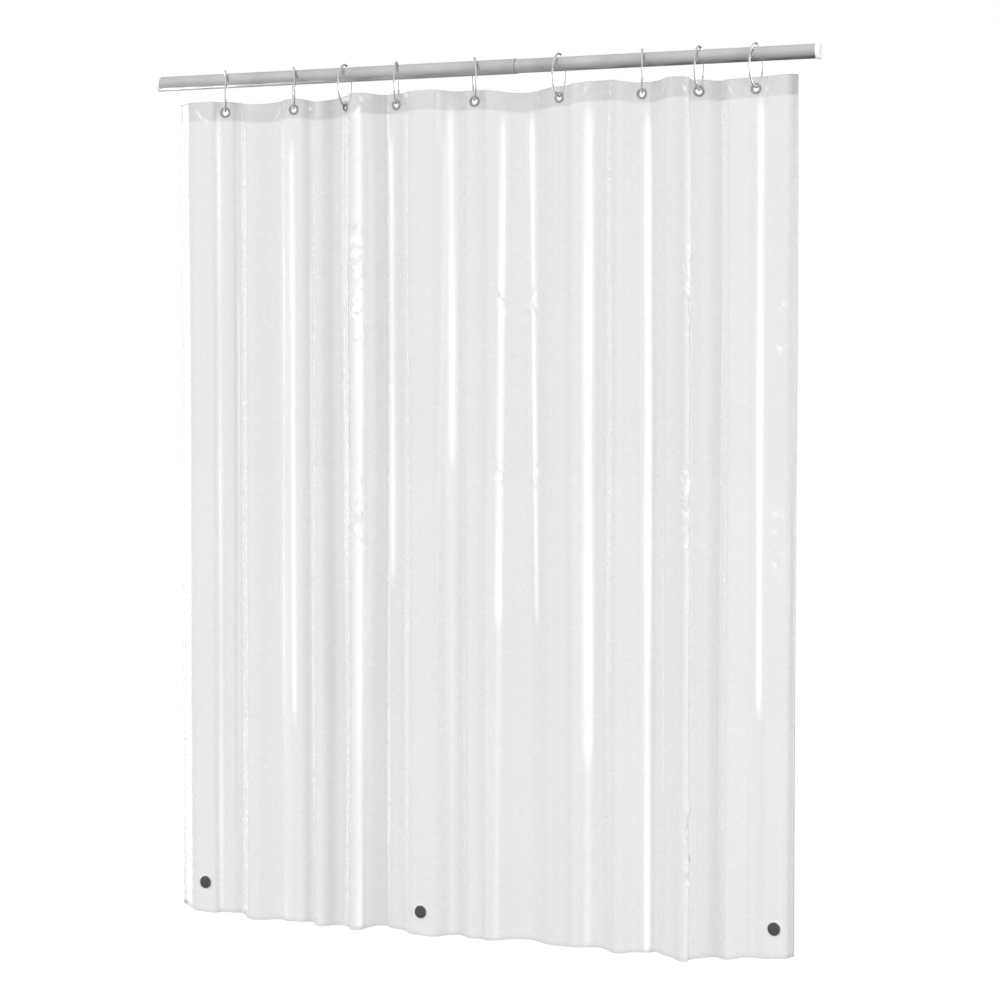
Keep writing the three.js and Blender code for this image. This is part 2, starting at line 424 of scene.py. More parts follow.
# small painted highlight glints in the header, with no dent in the shape: place along the rod, distance
# down, half length, half width, slant, whiteness of the painted highlight
paintedGlints = [
    (-0.668, 0.030, 0.012, 0.0028, 0.7, 0.9),
    (-0.652, 0.041, 0.006, 0.0026, 0.3, 0.7),
    (-0.574, 0.028, 0.009, 0.0026, 0.35, 0.8),
    (-0.486, 0.026, 0.008, 0.0024, -0.6, 0.6),
    (-0.466, 0.012, 0.004, 0.0026, -0.8, 0.7),
    (-0.406, 0.018, 0.004, 0.0034, 0.0, 0.8),
    (-0.352, 0.020, 0.004, 0.0030, 0.2, 0.7),
    (-0.258, 0.014, 0.007, 0.0040, 0.5, 0.9),
    (-0.262, 0.036, 0.006, 0.0036, -0.4, 0.8),
    (-0.214, 0.016, 0.004, 0.0028, -0.5, 0.5),
    (-0.074, 0.012, 0.004, 0.0030, 0.7, 0.6),
    (0.142, 0.018, 0.004, 0.0026, 0.4, 0.5),
    (0.262, 0.016, 0.008, 0.0030, -0.5, 0.7),
    (0.318, 0.026, 0.005, 0.0028, 0.6, 0.6),
    (0.438, 0.020, 0.007, 0.0028, -0.6, 0.6),
    (0.494, 0.024, 0.006, 0.0036, 0.4, 0.8),
    (0.588, 0.022, 0.007, 0.0028, 0.5, 0.6),
    (0.664, 0.028, 0.008, 0.0028, -0.4, 0.7),
]


def stationList():
    found = [(x, y, turn, 0.0) for x, y, turn in sideEdges]
    found += [(x, 0.0, turn, eyeletFlat) for x, ringTurn, turn in hangers]
    found += [(x, y, turn, weightFlat) for name, x, y, up, turn in weights]
    found += [(x, y, 0.0, 0.0) for x, y in crests]
    return sorted(found)


def planLine():  # the film's line seen from above: points and length so far
    points, lastPoint, lastAlong = [], None, None
    for index, (x, y, turn, flat) in enumerate(stationList()):
        along = np.array([math.cos(turn * degree), math.sin(turn * degree)])
        middle = np.array([x, y])
        enter, leave = middle - along * flat, middle + along * flat
        if index:
            reach = np.linalg.norm(enter - lastPoint) * film["foldFullness"]
            for t in np.linspace(0, 1, 33)[1:]:
                points.append(
                    (2 * t**3 - 3 * t**2 + 1) * lastPoint
                    + (t**3 - 2 * t**2 + t) * lastAlong * reach
                    + (3 * t**2 - 2 * t**3) * enter
                    + (t**3 - t**2) * along * reach
                )
        else:
            points.append(enter)
        if flat:
            points += [middle, leave]
        lastPoint, lastAlong = leave, along
    points = np.array(points)
    steps = np.linalg.norm(np.diff(points, axis=0), axis=1)
    return points, np.concatenate([[0], np.cumsum(steps)])


planPoints, planLength = planLine()
filmWidth = float(planLength[-1])


def lengthAt(x):  # how far along the film a place on the rod is
    order = np.argsort(planPoints[:, 0])
    return float(np.interp(x, planPoints[order, 0], planLength[order]))


def planAt(lengths):
    x = np.interp(lengths, planLength, planPoints[:, 0])
    y = np.interp(lengths, planLength, planPoints[:, 1])
    step = 0.0015
    ahead = np.clip(lengths + step, 0, filmWidth)
    behind = np.clip(lengths - step, 0, filmWidth)
    dx = np.interp(ahead, planLength, planPoints[:, 0]) - np.interp(behind, planLength, planPoints[:, 0])
    dy = np.interp(ahead, planLength, planPoints[:, 1]) - np.interp(behind, planLength, planPoints[:, 1])
    size = np.hypot(dx, dy)
    return x, y, dx / size, dy / size


eyeletLengths = [lengthAt(x) for x, ringTurn, turn in hangers]
weightLengths = [lengthAt(x) for name, x, y, up, turn in weights]
eyeletZ = film["top"] - eyelet["drop"]
bottomZ = film["top"] - film["height"]


def spaced(total, wide, fine, zones):  # marks from 0 to total, fine inside the zones
    marks, at = [0.0], 0.0
    while at < total:
        step = fine if any(low <= at <= high for low, high in zones) else wide
        following = [low for low, high in zones if at < low < at + step]
        at = min(following) if following else at + step
        marks.append(min(at, total))
    if marks[-1] - marks[-2] < fine * 0.4:
        marks.pop(-2)
    return np.array(marks)


def step01(value, low, high):
    t = np.clip((value - low) / (high - low), 0, 1)
    return t * t * (3 - 2 * t)


relief = {  # metres, counts and shares of what stands off the film's plan
    "waves": 9,
    "waveDepth": 0.0007,
    "ripples": 16,
    "rippleDepth": 0.00012,
    "pleatShare": 0.6,
    "fullPleat": 0.0046,
    "calmEyelet": 0.022,
    "calmWeight": 0.034,
}


def ripple(value, size, phase):
    return np.sin(2 * math.pi * value / size + phase)


def pleatFade(share, start, end, lead):  # a pleat that reaches the hem doesn't fade there
    bottom = step01(share, end - 0.02, end + 0.02) * (end < 0.999)
    return step01(share, start - lead, start + 0.02) * (1 - bottom)


def filmDisplacement(lengths, drops):
    # how far the film stands off its plan, towards the back; both are grids in metres
    off = np.zeros_like(lengths)
    seeded = np.random.default_rng(11)
    share = drops / film["height"]
    for wave in range(relief["waves"]):
        size = seeded.uniform(0.10, 0.32)
        tall = seeded.uniform(1.2, 3.2)
        phase, drift = seeded.uniform(0, 2 * math.pi, 2)
        off += relief["waveDepth"] * ripple(lengths, size, phase) * ripple(drops, tall, drift)
    for ripples in range(relief["ripples"]):
        size = seeded.uniform(0.018, 0.05)
        tall = seeded.uniform(1.0, 3.0)
        phase, drift = seeded.uniform(0, 2 * math.pi, 2)
        off += relief["rippleDepth"] * ripple(lengths, size, phase) * ripple(drops, tall, drift)
    for x, half, height, start, end, lean in pleats:
        centre = lengthAt(x) + lean * share
        fade = pleatFade(share, start, end, 0.03)
        wander = 1 + 0.25 * np.sin(7.0 * drops + x * 40)
        off -= relief["pleatShare"] * height * wander * fade * np.exp(-(((lengths - centre) / half) ** 2))
    for x, start, end, count, depth in crumples:
        centre = lengthAt(x)
        for dent in range(count):
            where = seeded.normal(centre, 0.006)
            down = seeded.uniform(start, end)
            wide, tall = seeded.uniform(0.003, 0.007), seeded.uniform(0.004, 0.012)
            slant = seeded.uniform(-1.1, 1.1)
            amount = depth * seeded.uniform(-1, 1)
            across = (lengths - where) + slant * (drops - down)
            off += amount * np.exp(-((across / wide) ** 2) - ((drops - down) / tall) ** 2)
    calm = step01(drops, 0.050, 0.16) * 0.85 + 0.15
    for at in eyeletLengths:
        away = np.hypot(lengths - at, drops - eyelet["drop"])
        calm = calm * (1 - np.exp(-((away / relief["calmEyelet"]) ** 4)))
    for at, (name, x, y, up, turn) in zip(weightLengths, weights):
        away = np.hypot(lengths - at, drops - (film["height"] - up))
        calm = calm * (1 - np.exp(-((away / relief["calmWeight"]) ** 4)))
    return off * calm


def paintedFilmHighlights(lengths, drops):  # painted highlights where the film is creased: streaks along the pleats, lighter and darker facets on the crumples and glints in the header, 0 to 1
    white = np.zeros_like(lengths)
    seeded = np.random.default_rng(23)
    share = drops / film["height"]
    # a painted highlight streak along each pleat
    for x, half, height, start, end, lean in pleats:
        centre = lengthAt(x) + lean * share
        fade = pleatFade(share, start, end, 0.02)
        strength = min(1.0, height / relief["fullPleat"])
        streak = np.exp(-(((lengths - centre) / (half * 0.85)) ** 2))
        flicker = 0.86 + 0.14 * np.sin(9.0 * drops + x * 60)
        white += strength * flicker * fade * streak
    # painted highlight and painted shade on the crumpled facets, lighter and darker at random
    for x, start, end, count, depth in crumples:
        centre = lengthAt(x)
        for dent in range(count):
            where = seeded.normal(centre, 0.006)
            down = seeded.uniform(start, end)
            wide, tall = seeded.uniform(0.002, 0.005), seeded.uniform(0.004, 0.010)
            slant = seeded.uniform(-1.1, 1.1)
            amount = seeded.uniform(-0.9, 0.9)
            across = (lengths - where) + slant * (drops - down)
            white += amount * np.exp(-((across / wide) ** 2) - ((drops - down) / tall) ** 2)
    # painted highlight glints in the header
    for x, down, tall, wide, slant, amount in paintedGlints:
        across = (lengths - lengthAt(x)) - slant * (drops - down)
        white += amount * np.exp(-((across / wide) ** 2) - ((drops - down) / tall) ** 2)
    return np.clip(white, 0, 1)


def edgeSag(lengths):  # how far the top edge hangs down
    sag = np.zeros_like(lengths)
    posts = [0.0, *eyeletLengths, filmWidth]
    for depth, low, high in zip(sags, posts, posts[1:]):
        inside = (lengths >= low) & (lengths <= high)
        share = np.clip((lengths - low) / (high - low), 0, 1)
        first, last = low == 0.0, high == filmWidth
        shape = np.sin(math.pi * share / 2) ** 2 if last else np.sin(math.pi * share) ** 2
        shape = np.cos(math.pi * share / 2) ** 2 if first else shape
        sag = np.where(inside, depth * shape, sag)
    return sag


# how far the bottom edge hangs below a straight cut, at even steps along the film
hemDrops = [
    *(-0.001, 0.006, 0.008, 0.016, 0.015, 0.018, 0.013, 0.010, 0.011, 0.014),
    *(0.017, 0.013, 0.018, 0.012, 0.018, 0.012, 0.020, 0.014, 0.004, -0.003),
]


def bottomWave(lengths):  # the curve through the hem's drops
    marks = np.linspace(0, filmWidth, len(hemDrops))
    step = marks[1]
    curve = np.zeros_like(lengths)
    total = np.zeros_like(lengths)
    for mark, drop in zip(marks, hemDrops):
        near = np.exp(-(((lengths - mark) / (step * 0.62)) ** 2))
        curve += near * drop
        total += near
    return -curve / total


holeBand = 0.05  # the eyelets' holes are all this near the top edge
cutRadius = 0.0092  # faces whose middle is nearer an eyelet than this are left out
rimReach = 0.0135  # and the rim that this leaves is drawn in to the eyelet's barrel


def filmPiece(name, columns, rows, back):
    lengths, drops = np.meshgrid(columns, rows)
    x, y, ax, ay = planAt(columns)
    off = filmDisplacement(lengths, drops) + back
    sag = edgeSag(columns)[None, :] * (1 - step01(drops, 0.0, 0.45))
    wave = bottomWave(columns)[None, :] * step01(drops, 0.4, film["height"])
    calm = np.ones_like(lengths)
    for at in eyeletLengths:
        calm = calm * (1 - np.exp(-((np.abs(lengths - at) / 0.020) ** 4)) * (drops < holeBand))
    px = x[None, :] - ay[None, :] * off
    py = y[None, :] + ax[None, :] * off
    pz = film["top"] - drops - sag * calm + wave
    across = len(columns)
    points = np.stack([px, py, pz], -1).reshape(-1, 3)
    keep = []
    centres = [(at, eyelet["drop"]) for at in eyeletLengths]
    for row in range(len(rows) - 1):
        middle = (rows[row] + rows[row + 1]) / 2
        for column in range(across - 1):
            at = (columns[column] + columns[column + 1]) / 2
            if middle < holeBand and any(math.hypot(at - cu, middle - cd) < cutRadius for cu, cd in centres):
                continue
            first = row * across + column
            keep.append((first, first + across, first + across + 1, first + 1))
    mesh = bpy.data.meshes.new(name)
    mesh.from_pydata([tuple(p) for p in points], [], keep)
    uv = mesh.uv_layers.new(name="film")
    flatUv = np.stack([lengths.reshape(-1), -drops.reshape(-1)], -1)
    loops = np.zeros(len(mesh.loops), np.int32)
    mesh.loops.foreach_get("vertex_index", loops)
    uv.data.foreach_set("uv", flatUv[loops].reshape(-1).astype(np.float32))
    doubled = mesh.attributes.new("doubled", "FLOAT", "POINT")
    fromSide = np.minimum(lengths, filmWidth - lengths).reshape(-1)
    hem = 1 - step01(fromSide, film["sideHem"] - 0.003, film["sideHem"] + 0.003)
    doubled.data.foreach_set("value", hem.astype(np.float32))
    # the painted highlight streaks go onto the film as a point attribute
    paintedHighlight = mesh.attributes.new("paintedHighlight", "FLOAT", "POINT")
    paintedHighlight.data.foreach_set("value", paintedFilmHighlights(lengths, drops).reshape(-1).astype(np.float32))
    piece = bpy.data.objects.new(name, mesh)
    bpy.context.scene.collection.objects.link(piece)
    roundHoles(piece, lengths.reshape(-1), drops.reshape(-1), back)
    solid = piece.modifiers.new("film", "SOLIDIFY")
    solid.thickness = film["thick"]
    solid.offset = 0
    solid.use_even_offset = False
    applyAll(piece)
    pick(piece)
    bpy.ops.object.shade_smooth()
    return piece


def roundHoles(piece, lengths, drops, back):  # the cut edges go onto a circle
    shell = bmesh.new()
    shell.from_mesh(piece.data)
    shell.verts.ensure_lookup_table()
    loose = []
    for corner in shell.verts:
        if not corner.link_faces:
            loose.append(corner)
            continue
        if not corner.is_boundary or drops[corner.index] > holeBand:
            continue
        for at in eyeletLengths:
            du, dd = lengths[corner.index] - at, drops[corner.index] - eyelet["drop"]
            away = math.hypot(du, dd)
            if away < rimReach:
                grow = (eyelet["barrel"] + 0.0003) / away
                cx, cy, ax, ay = (float(v[0]) for v in planAt(np.array([at])))
                corner.co = (
                    cx + ax * du * grow - ay * back,
                    cy + ay * du * grow + ax * back,
                    eyeletZ - dd * grow,
                )
    bmesh.ops.delete(shell, geom=loose, context="VERTS")
    shell.to_mesh(piece.data)
    shell.free()


def filmMaterial(name, alpha):
    made = Finish(name)
    made.set(Specular_IOR_Level=0.6, IOR=1.5)
    where = made.coordinates("film")
    doubled, paintedHighlight = made.attribute("doubled"), made.attribute("paintedHighlight")
    haze = made.effect(smudges, where, Scale=5.0, Sharpness=1.2)
    lines = made.effect(drawnLines, where, Stretch=(1.0, 0.03, 1.0), Scale=240.0)
    body = made.colours(haze, film["tone"], tuple(v * 0.985 for v in film["tone"]))
    body = made.over(doubled, body, film["doubledTone"])
    # painted highlights: the colour goes near white along the creases
    made.feed("Base Color", made.over(paintedHighlight, body, film["paintedHighlightTone"]))
    plain = made.ranged(doubled, alpha, film["doubledAlpha"])
    # and the film is more opaque under the painted highlights
    extra = made.math("MULTIPLY", paintedHighlight, film["paintedHighlightAlpha"] - film["alpha"])
    made.feed("Alpha", made.math("ADD", plain, extra))
    made.handled(where, 14.0, 1.0, 0.26, 0.29)
    specks = made.effect(smudges, where, Scale=420.0, Sharpness=6.0)
    height = made.math("ADD", lines, made.math("MULTIPLY", specks, 0.5))
    made.bump(height, 0.07, 0.0005)
    return made.material


filmFinish = filmMaterial("clear curtain film", film["alpha"])
headerFinish = filmMaterial("clear header film", film["headerAlpha"])


def pleatZone(pleat):
    x, half, height, start, end, lean = pleat
    return lengthAt(x) + lean * 0.5 - half * 1.6, lengthAt(x) + lean * 0.5 + half * 1.6


columnZones = sorted(
    [(at - eyeletFlat, at + eyeletFlat) for at in eyeletLengths]
    + [(lengthAt(x) - 0.010, lengthAt(x) + 0.010) for x, *dent in paintedGlints]
    + [pleatZone(pleat) for pleat in pleats if pleat[2] > 0.002]
)
crumpledRows = [(0.28, 0.56), (0.80, 1.00), (1.50, 1.68)]
filmColumns = spaced(filmWidth, film["columnWide"], film["columnFine"], columnZones)
filmRows = spaced(film["height"], film["rowWide"], film["rowFine"], crumpledRows)
topRows = spaced(holeBand, film["columnFine"], film["columnFine"], [])
filmRows = np.concatenate([topRows, filmRows[filmRows > holeBand + 0.006]])
headerRows = spaced(film["header"], film["columnFine"], film["columnFine"], [])
curtainSheet = filmPiece("curtainFilm", filmColumns, filmRows, 0.0)
headerBand = filmPiece("headerFilm", filmColumns, headerRows, film["headerBack"])
finished(curtainSheet, "curtain", filmFinish, ["curtain_sheet"])
finished(headerBand, "curtain", headerFinish, ["header_band"])
print("film", len(filmColumns), "by", len(filmRows), "width", round(filmWidth, 4))


# ---- rod

rod = {
    "left": -0.788,
    "right": 0.780,
    "seam": 0.100,
    "outerRadius": 0.0162,
    "innerRadius": 0.0151,
    "wall": 0.0008,
    "innerStart": -0.060,
    "lip": 0.0003,
    "footThick": 0.009,
    "footRadius": 0.0168,
    "gap": 0.0003,
    "sides": 96,
    "steel": (0.66, 0.665, 0.67),
    "steelDark": (0.50, 0.505, 0.51),
}


def steelMaterial():
    made = Finish("satin steel")
    made.set(Metallic=1.0)
    where = made.coordinates()
    made.mottled(where, 9.0, 1.0, rod["steel"], rod["steelDark"])
    made.handled(where, 30.0, 0.8, 0.30, 0.40)
    made.bump(made.effect(drawnLines, where, Stretch=(0.02, 1.0, 1.0), Scale=900.0), 0.10, 0.0002)
    return made.material


def rubberMaterial():
    made = Finish("white rubber")
    made.set(Specular_IOR_Level=0.35)
    where = made.coordinates()
    made.mottled(where, 60.0, 1.5, (0.82, 0.82, 0.81), (0.70, 0.70, 0.69))
    made.handled(where, 120.0, 1.0, 0.5, 0.7)
    made.bump(made.effect(smudges, where, Scale=900.0, Sharpness=1.0), 0.15, 0.0002)
    return made.material


def plasticMaterial():
    made = Finish("moulded plastic")
    where = made.coordinates()
    made.mottled(where, 40.0, 1.0, (0.66, 0.66, 0.65), (0.60, 0.60, 0.59))
    made.handled(where, 200.0, 1.0, 0.42, 0.56)
    made.bump(made.effect(smudges, where, Scale=1500.0, Sharpness=1.0), 0.1, 0.0001)
    return made.material


def springMaterial():
    made = Finish("oiled spring steel")
    made.set(Metallic=1.0)
    where = made.coordinates()
    made.mottled(where, 50.0, 1.2, (0.36, 0.36, 0.37), (0.22, 0.21, 0.20))
    made.handled(where, 150.0, 1.0, 0.3, 0.5)
    made.bump(made.effect(drawnLines, where, Stretch=(1, 1, 1), Scale=1200.0), 0.1, 0.0001)
    return made.material


steel = steelMaterial()
rubber = rubberMaterial()
plastic = plasticMaterial()
springSteel = springMaterial()


def tubePiece(name, radius, start, end, lipped=False):
    wall = rod["wall"]
    outside = [(radius, start), (radius, end)]
    if lipped:
        raised = radius + rod["lip"]
        outside = [(radius, start), (radius, end - 0.0040), (raised, end - 0.0030), (raised, end)]
    section = [(radius - wall, start), *outside, (radius - wall, end)]
    piece = turnedPiece(name, section, rod["sides"])
    turnMesh(piece, "Y", math.pi / 2)
    softenEdges(piece, 0.00022, 2, 50)
    smooth(piece, 40)
    return piece


def footPiece(name, side, wallX):
    radius, thick = rod["footRadius"], rod["footThick"]
    section = [
        (0.0040, 0.0003),
        (0.0120, 0.0003),
        (0.0126, 0.0),
        (radius - 0.0010, 0.0),
        (radius, 0.0012),
        (radius, 0.0040),
        (radius - 0.0004, 0.0048),
        (radius - 0.0004, 0.0062),
        (radius, 0.0070),
        (radius, thick),
        (0.0060, thick),
        (0.0060, thick + 0.012),
    ]
    piece = turnedPiece(name, section, 72, closed=False)
    closeEnds(piece)
    turnMesh(piece, "Y", -side * math.pi / 2)
    softenEdges(piece, 0.0003, 2, 40)
    smooth(piece, 40)
    place(piece, wallX, 0, 0)
    return piece


leftMouth = rod["left"] + rod["footThick"] + rod["gap"]
rightMouth = rod["right"] - rod["footThick"] - rod["gap"]
outerTube = tubePiece("outerTube", rod["outerRadius"], leftMouth, rod["seam"], lipped=True)
innerTube = tubePiece("innerTube", rod["innerRadius"], rod["innerStart"], rightMouth)
finished(outerTube, "rod_outer", steel, ["outer_tube"])
finished(innerTube, "rod_inner", steel, ["inner_tube"])
finished(footPiece("leftFoot", -1, rod["left"]), "rod_outer", rubber, ["left_foot"])
finished(footPiece("rightFoot", 1, rod["right"]), "rod_inner", rubber, ["right_foot"])
coil = {"start": -0.231, "length": 0.1644, "radius": 0.012, "wire": 0.002, "turns": 9}


def coilPiece(name):
    clearSelection()
    bpy.ops.mesh.primitive_circle_add(
        vertices=12, radius=coil["wire"] / 2, location=(coil["radius"], 0, 0), rotation=(90 * degree, 0, 0)
    )
    piece = bpy.context.object
    piece.name = name
    bake(piece)
    piece.data.transform(Matrix.Translation((0, 0, coil["wire"] / 2)))
    bake(piece)
    pick(piece)
    screw = piece.modifiers.new("turns", "SCREW")
    screw.screw_offset = (coil["length"] - coil["wire"]) / coil["turns"]
    screw.iterations = coil["turns"]
    screw.steps = screw.render_steps = 40
    screw.use_smooth_shade = True
    applyAll(piece)
    pick(piece)
    bpy.ops.object.mode_set(mode="EDIT")
    bpy.ops.mesh.select_all(action="SELECT")
    bpy.ops.mesh.remove_doubles(threshold=0.000005)
    bpy.ops.object.mode_set(mode="OBJECT")
    closeEnds(piece)
    turnMesh(piece, "Y", math.pi / 2)
    place(piece, coil["start"], 0, 0)
    return piece


for node, material in [
    ("left_end_plug", plastic),
    ("right_end_plug", plastic),
    ("spring_plug", plastic),
    ("spring_stop", plastic),
]:
    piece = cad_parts[node]
    piece.data.materials.clear()
    piece.data.materials.append(material)
coilSpring = coilPiece("coilSpring")
coilSpring.data.materials.append(springSteel)
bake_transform(coilSpring)
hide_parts("tension_spring")
print("rod")


# ---- rings and eyelets

ring = {
    "halfWidth": 0.0275,
    "halfHeight": 0.045,
    "wire": 0.0046,
    "topInside": 0.020,
    "split": 0.0012,
    "splitReach": 0.005,
}
ringCentreZ = ring["topInside"] + ring["wire"] / 2 - ring["halfHeight"]


def chromeMaterial():
    made = Finish("polished chrome")
    made.set(Metallic=1.0)
    where = made.coordinates()
    made.mottled(where, 40.0, 1.0, (0.72, 0.725, 0.73), (0.56, 0.565, 0.575))
    made.handled(where, 90.0, 1.4, 0.06, 0.16)
    made.bump(made.effect(drawnLines, where, Stretch=(1, 1, 1), Scale=700.0), 0.04, 0.0001)
    return made.material


def eyeletMaterial():
    made = Finish("nickel eyelet")
    made.set(Metallic=1.0)
    where = made.coordinates()
    made.mottled(where, 120.0, 1.0, (0.50, 0.505, 0.515), (0.34, 0.34, 0.35))
    made.handled(where, 160.0, 1.2, 0.12, 0.24)
    made.bump(made.effect(drawnLines, where, Stretch=(1, 1, 1), Scale=900.0), 0.05, 0.0001)
    return made.material


def ringPiece(name):
    clearSelection()
    bpy.ops.curve.primitive_bezier_circle_add(radius=1, location=(0, 0, 0))
    piece = bpy.context.object
    piece.name = name
    bpy.ops.object.mode_set(mode="EDIT")
    bpy.ops.curve.select_all(action="SELECT")
    bpy.ops.curve.subdivide(number_cuts=11)
    bpy.ops.transform.resize(value=(ring["halfWidth"], ring["halfHeight"], 1))
    bpy.ops.object.mode_set(mode="OBJECT")
    piece.data.resolution_u = 3
    piece.data.bevel_depth = ring["wire"] / 2
    piece.data.bevel_resolution = 5
    piece.data.use_fill_caps = True
    # the X of the circle becomes the depth, the Y the height
    piece.data.transform(Matrix.Rotation(math.pi / 2, 4, "Z"))
    piece.data.transform(Matrix(((0, 0, 1, 0), (0, 1, 0, 0), (-1, 0, 0, 0), (0, 0, 0, 1))))
    pick(piece)
    bpy.ops.object.convert(target="MESH")
    piece = bpy.context.object
    splitRing(piece)
    pick(piece)
    bpy.ops.object.shade_smooth_by_angle(angle=50 * degree)
    return piece


def splitRing(piece):  # a thin cut low on the back leg, with closed ends
    angle, wide, high = 0.62 * math.pi, ring["halfWidth"], ring["halfHeight"]
    where = Vector((0, wide * math.sin(angle), high * math.cos(angle)))
    along = Vector((0, wide * math.cos(angle), -high * math.sin(angle))).normalized()
    pick(piece)
    bpy.ops.object.mode_set(mode="EDIT")
    for side in (-1, 1):
        bpy.ops.mesh.select_all(action="DESELECT")
        bpy.ops.object.mode_set(mode="OBJECT")
        for vertex in piece.data.vertices:
            vertex.select = (vertex.co - where).length < 0.010
        bpy.ops.object.mode_set(mode="EDIT")
        bpy.ops.mesh.bisect(plane_co=where + along * side * ring["split"] / 2, plane_no=along)
    bpy.ops.object.mode_set(mode="OBJECT")
    shell = bmesh.new()
    shell.from_mesh(piece.data)
    gone = []
    for face in shell.faces:
        away = face.calc_center_median() - where
        if abs(away.dot(along)) < ring["split"] / 2 * 0.98 and away.length < ring["splitReach"]:
            gone.append(face)
    bmesh.ops.delete(shell, geom=gone, context="FACES")
    bmesh.ops.holes_fill(shell, edges=[e for e in shell.edges if e.is_boundary], sides=64)
    bmesh.ops.recalc_face_normals(shell, faces=shell.faces)
    shell.to_mesh(piece.data)
    shell.free()


def eyeletPiece(name):
    front = film["thick"] / 2 + 0.0004
    back = film["headerBack"] + film["thick"] / 2 + 0.0013
    hole, barrel, flange = eyelet["hole"], eyelet["barrel"], eyelet["flange"]
    lip, curl = eyelet["lip"], eyelet["curl"]
    section = [
        (hole, front + lip * 0.55),
        (hole + 0.0007, front + lip * 0.95),
        (hole + 0.0018, front + lip * 1.10),
        (hole + 0.0032, front + lip * 0.85),
        (flange - 0.0008, front + lip * 0.45),
        (flange, front + lip * 0.12),
        (flange, front),
        (barrel, front),
        (barrel, -back),
        (curl, -back),
        (curl, -back - lip * 0.5),
        (curl - 0.0012, -back - lip),
        (hole + 0.0006, -back - lip * 0.8),
        (hole, -back - lip * 0.3),
    ]
    piece = turnedPiece(name, section, 56)
    turnMesh(piece, "X", math.pi / 2)
    smooth(piece, 45)
    return piece


def washerPiece(name):
    face = film["headerBack"] + film["thick"] / 2 + 0.0003
    section = [
        (eyelet["barrel"] + 0.0003, -face - 0.0008),
        (eyelet["barrel"] + 0.0003, -face),
        (0.0115, -face),
        (0.0115, -face - 0.0006),
        (0.0110, -face - 0.0008),
    ]
    piece = turnedPiece(name, section, 56)
    turnMesh(piece, "X", math.pi / 2)
    smooth(piece, 40)
    return piece


chrome = chromeMaterial()
nickel = eyeletMaterial()
firstRing, firstEyelet, firstWasher = ringPiece("wireRing"), eyeletPiece("eyelet"), washerPiece("washer")
for index, (x, ringTurn, filmTurn) in enumerate(hangers, start=1):
    body = "curtain" if index == 1 else f"ring_{index}"
    wire = copyPiece(firstRing, f"wireRing{index}")
    place(wire, x, 0, ringCentreZ, ringTurn * degree)
    finished(wire, body, chrome, [f"ring_{index}"])
    for source, label, node in [(firstEyelet, "eyelet", "eyelet"), (firstWasher, "washer", "washer")]:
        fitting = copyPiece(source, f"{label}{index}")
        place(fitting, x, 0, eyeletZ, filmTurn * degree)
        finished(fitting, body, nickel, [f"{node}_{index}"])
for source in (firstRing, firstEyelet, firstWasher):
    bpy.data.objects.remove(source)
print("rings")


# ---- weights

magnet = {"radius": 0.014, "thick": 0.0032, "edge": 0.0005, "pocketRim": 0.019, "pocketFilm": 0.0004}


def magnetMaterial():
    made = Finish("black magnet")
    where = made.coordinates()
    made.mottled(where, 160.0, 1.6, (0.016, 0.016, 0.017), (0.032, 0.032, 0.034))
    made.handled(where, 220.0, 1.0, 0.36, 0.52)
    made.bump(made.effect(smudges, where, Scale=1600.0, Sharpness=1.0), 0.2, 0.0002)
    return made.material


def pocketMaterial():
    made = Finish("pocket film")
    made.set(Specular_IOR_Level=0.6)
    where = made.coordinates()
    made.mottled(where, 50.0, 1.0, (0.90, 0.905, 0.91), (0.86, 0.865, 0.87))
    made.handled(where, 120.0, 1.0, 0.12, 0.22)
    made.feed("Alpha", made.ranged(made.attribute("weld"), 0.02, 0.36))
    made.bump(made.effect(drawnLines, where, Stretch=(1, 1, 1), Scale=500.0), 0.1, 0.0003)
    return made.material


def magnetPiece(name):
    face = film["thick"] / 2 + 0.0004
    radius, edge, thick = magnet["radius"], magnet["edge"], magnet["thick"]
    section = [
        (radius - edge, face),
        (radius, face + edge),
        (radius, face + thick - edge),
        (radius - edge * 0.3, face + thick - edge * 0.3),
        (radius - edge, face + thick),
        (radius * 0.5, face + thick),
    ]
    piece = turnedPiece(name, section, 72, closed=False)
    closeEnds(piece)
    turnMesh(piece, "X", math.pi / 2)
    smooth(piece, 35)
    return piece


def pocketPiece(name):
    back = film["thick"] / 2 + 0.0003
    roof = back + magnet["thick"] + 0.0006
    thin, inside, rim = magnet["pocketFilm"], magnet["radius"] + 0.0004, magnet["pocketRim"]
    section = [
        (0.0005, roof + thin),
        (inside - 0.0012, roof + thin),
        (inside + 0.0002, roof + thin * 0.2),
        (inside + thin, roof - 0.0012),
        (inside + thin * 1.6, back + 0.0011),
        (inside + 0.0016, back + thin),
        (rim - 0.0006, back + thin),
        (rim, back + thin * 0.5),
        (rim - 0.0004, back),
        (inside, back),
        (inside, roof - 0.0010),
        (inside - 0.0012, roof),
        (0.0005, roof),
    ]
    piece = turnedPiece(name, section, 72, closed=False)
    closeEnds(piece)
    weld = piece.data.attributes.new("weld", "FLOAT", "POINT")
    for vertex, item in zip(piece.data.vertices, weld.data):
        item.value = 1.0 if math.hypot(vertex.co.x, vertex.co.y) > magnet["radius"] + 0.0006 else 0.0
    turnMesh(piece, "X", math.pi / 2)
    smooth(piece, 60)
    return piece


